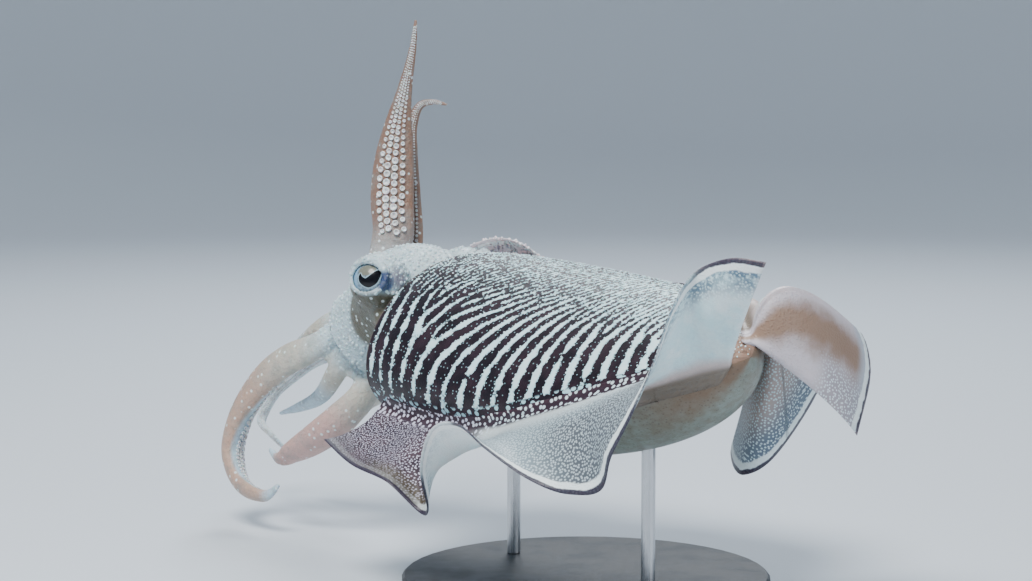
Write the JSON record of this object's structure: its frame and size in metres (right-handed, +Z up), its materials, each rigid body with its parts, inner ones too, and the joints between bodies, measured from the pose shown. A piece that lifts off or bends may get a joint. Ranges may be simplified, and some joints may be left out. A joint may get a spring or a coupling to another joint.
{
  "type": "common cuttlefish model",
  "caption": "Life-size still model of a swimming common cuttlefish with striped mantle, waving fins and raised arms, on a plain display stand.",
  "frame": {"origin": "centre of the underside of the stand's base", "axes": "+Z up, -X towards the head, +X towards the tail, -Y towards the animal's left side"},
  "size_m": [0.4174, 0.1719, 0.2477],
  "materials": {
    "skin_mantle": "moist skin, dark purple-brown with white stripes",
    "skin_head": "moist skin, pale blue-grey",
    "skin_fin": "moist thin skin, purple-brown above and pale below",
    "skin_arm": "moist skin, pinkish tan",
    "eye": "glossy",
    "stand_base": "satin",
    "stand_rod": "brushed"
  },
  "bodies": {
    "root": {"mantle": "skin_mantle", "head": "skin_head", "funnel": "skin_head", "mouth": "skin_arm", "eye_left": "eye", "eye_right": "eye", "fin_left_front": "skin_fin", "fin_left_middle": "skin_fin", "fin_left_rear": "skin_fin", "fin_right_front": "skin_fin", "fin_right_middle": "skin_fin", "fin_right_rear": "skin_fin", "arm_left_1_a": "skin_arm", "arm_left_1_b": "skin_arm", "arm_left_2_a": "skin_arm", "arm_left_2_b": "skin_arm", "arm_left_2_c": "skin_arm", "arm_left_3_a": "skin_arm", "arm_left_3_b": "skin_arm", "arm_left_4_a": "skin_arm", "arm_left_4_b": "skin_arm", "arm_right_1_a": "skin_arm", "arm_right_1_b": "skin_arm", "arm_right_1_c": "skin_arm", "arm_right_2_a": "skin_arm", "arm_right_2_b": "skin_arm", "arm_right_2_c": "skin_arm", "arm_right_3_a": "skin_arm", "arm_right_3_b": "skin_arm", "arm_right_3_c": "skin_arm", "arm_right_4_a": "skin_arm", "arm_right_4_b": "skin_arm", "stand_base": "stand_base", "stand_rod_front": "stand_rod", "stand_rod_rear": "stand_rod"}
  },
  "joints": []
}
